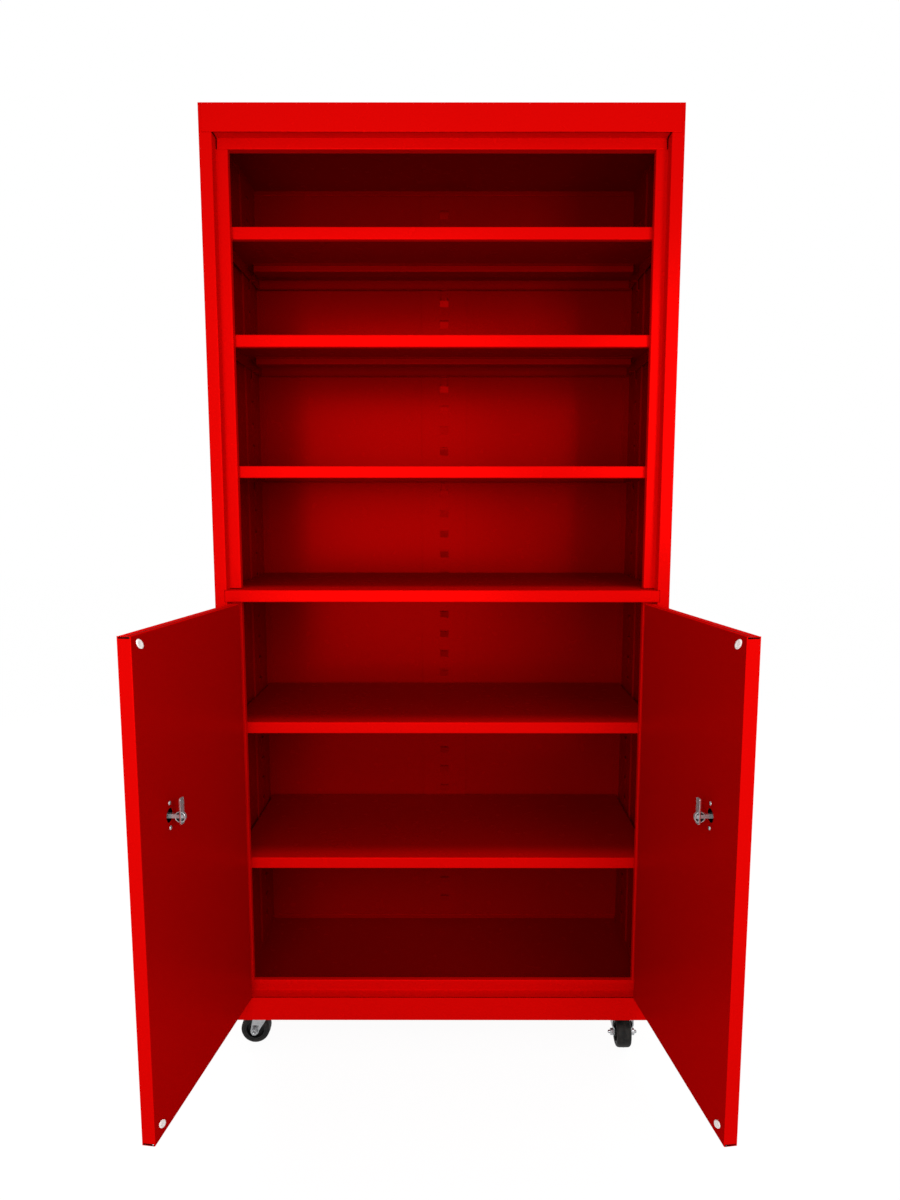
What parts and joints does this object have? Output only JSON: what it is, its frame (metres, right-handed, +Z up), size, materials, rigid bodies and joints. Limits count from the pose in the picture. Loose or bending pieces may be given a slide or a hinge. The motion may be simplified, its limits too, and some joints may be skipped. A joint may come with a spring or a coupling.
{
  "type": "roll front tool cabinet",
  "caption": "Tall steel storage cabinet on swivel castors, with open adjustable shelves above and two hinged lever-latched doors over shelves below.",
  "frame": {"origin": "on the floor under the middle of the object with its doors open", "axes": "+Z up, +X to the cabinet's right as seen from the front, -Y the front"},
  "size_m": [1.0204, 0.8894, 1.9266],
  "materials": {
    "red_enamel": "glossy baked enamel",
    "zinc": "dull zinc plating",
    "chrome": "polished",
    "tyre": "matt",
    "hub": "matt",
    "bumper": "soft matt"
  },
  "bodies": {
    "carcass": {"left_side_panel": "red_enamel", "right_side_panel": "red_enamel", "header_rail": "red_enamel", "sill_rail": "red_enamel", "back_panel": "red_enamel", "top_panel": "red_enamel", "bottom_panel": "red_enamel", "mid_shelf": "red_enamel", "center_back_post": "red_enamel", "left_front_post": "red_enamel", "left_rear_post": "red_enamel", "right_front_post": "red_enamel", "right_rear_post": "red_enamel", "upper_shelf_top": "red_enamel", "upper_shelf_middle": "red_enamel", "upper_shelf_bottom": "red_enamel", "lower_shelf_top": "red_enamel", "lower_shelf_bottom": "red_enamel", "upper_shelf_stiffeners": "red_enamel", "lower_shelf_stiffeners": "red_enamel", "shelf_clips": "red_enamel", "left_hinge_frame_leaves": "zinc", "right_hinge_frame_leaves": "zinc", "hinge_pins": "zinc", "castor_plates": "zinc", "castor_studs": "zinc"},
    "left_door": {"left_door_shell": "red_enamel", "left_door_inner_panel": "red_enamel", "left_door_bumpers": "bumper", "left_latch_rivets": "zinc", "left_hinge_door_leaves": "zinc", "left_latch_rose": "chrome"},
    "left_latch": {"left_latch_handle": "chrome", "left_latch_cam": "zinc", "left_latch_clamp": "zinc"},
    "right_door": {"right_door_shell": "red_enamel", "right_door_inner_panel": "red_enamel", "right_door_bumpers": "bumper", "right_latch_rivets": "zinc", "right_hinge_door_leaves": "zinc", "right_latch_rose": "chrome"},
    "right_latch": {"right_latch_handle": "chrome", "right_latch_cam": "zinc", "right_latch_clamp": "zinc"},
    "front_left_swivel": {"front_left_fork": "zinc", "front_left_axle": "zinc"},
    "front_left_wheel": {"front_left_tyre": "tyre", "front_left_hub": "hub"},
    "front_right_swivel": {"front_right_fork": "zinc", "front_right_axle": "zinc"},
    "front_right_wheel": {"front_right_tyre": "tyre", "front_right_hub": "hub"},
    "rear_left_swivel": {"rear_left_fork": "zinc", "rear_left_axle": "zinc"},
    "rear_left_wheel": {"rear_left_tyre": "tyre", "rear_left_hub": "hub"},
    "rear_right_swivel": {"rear_right_fork": "zinc", "rear_right_axle": "zinc"},
    "rear_right_wheel": {"rear_right_tyre": "tyre", "rear_right_hub": "hub"}
  },
  "joints": [
    {"name": "left_door_hinge", "type": "hinge", "parent": "carcass", "child": "left_door", "pos_m": [-0.4312, -0.01553, 0.5606], "axis": [0, 0, -1], "range_deg": [-98, 72]},
    {"name": "left_latch_turn", "type": "hinge", "parent": "left_door", "child": "left_latch", "pos_m": [-0.4743, -0.34373, 0.6656], "axis": [0.9903, -0.1392, 0], "range_deg": [0, 90]},
    {"name": "right_door_hinge", "type": "hinge", "parent": "carcass", "child": "right_door", "pos_m": [0.4312, -0.01553, 0.5606], "axis": [0, 0, 1], "range_deg": [-98, 72]},
    {"name": "right_latch_turn", "type": "hinge", "parent": "right_door", "child": "right_latch", "pos_m": [0.4743, -0.34373, 0.6656], "axis": [0.9903, 0.1392, 0], "range_deg": [0, 90]},
    {"name": "front_left_swivel_turn", "type": "hinge", "parent": "carcass", "child": "front_left_swivel", "pos_m": [-0.3942, 0.04547, 0.0742], "axis": [0, 0, 1], "continuous": true},
    {"name": "front_left_wheel_spin", "type": "hinge", "parent": "front_left_swivel", "child": "front_left_wheel", "pos_m": [-0.4142, 0.04547, 0.03175], "axis": [0, -1, 0], "continuous": true},
    {"name": "front_right_swivel_turn", "type": "hinge", "parent": "carcass", "child": "front_right_swivel", "pos_m": [0.3942, 0.04547, 0.0742], "axis": [0, 0, 1], "continuous": true},
    {"name": "front_right_wheel_spin", "type": "hinge", "parent": "front_right_swivel", "child": "front_right_wheel", "pos_m": [0.3942, 0.02547, 0.03175], "axis": [1, 0, 0], "continuous": true},
    {"name": "rear_left_swivel_turn", "type": "hinge", "parent": "carcass", "child": "rear_left_swivel", "pos_m": [-0.3942, 0.38667, 0.0742], "axis": [0, 0, 1], "continuous": true},
    {"name": "rear_left_wheel_spin", "type": "hinge", "parent": "rear_left_swivel", "child": "rear_left_wheel", "pos_m": [-0.4042, 0.40399, 0.03175], "axis": [-0.866, -0.5, 0], "continuous": true},
    {"name": "rear_right_swivel_turn", "type": "hinge", "parent": "carcass", "child": "rear_right_swivel", "pos_m": [0.3942, 0.38667, 0.0742], "axis": [0, 0, 1], "continuous": true},
    {"name": "rear_right_wheel_spin", "type": "hinge", "parent": "rear_right_swivel", "child": "rear_right_wheel", "pos_m": [0.40104, 0.40546, 0.03175], "axis": [-0.9397, 0.342, 0], "continuous": true}
  ]
}
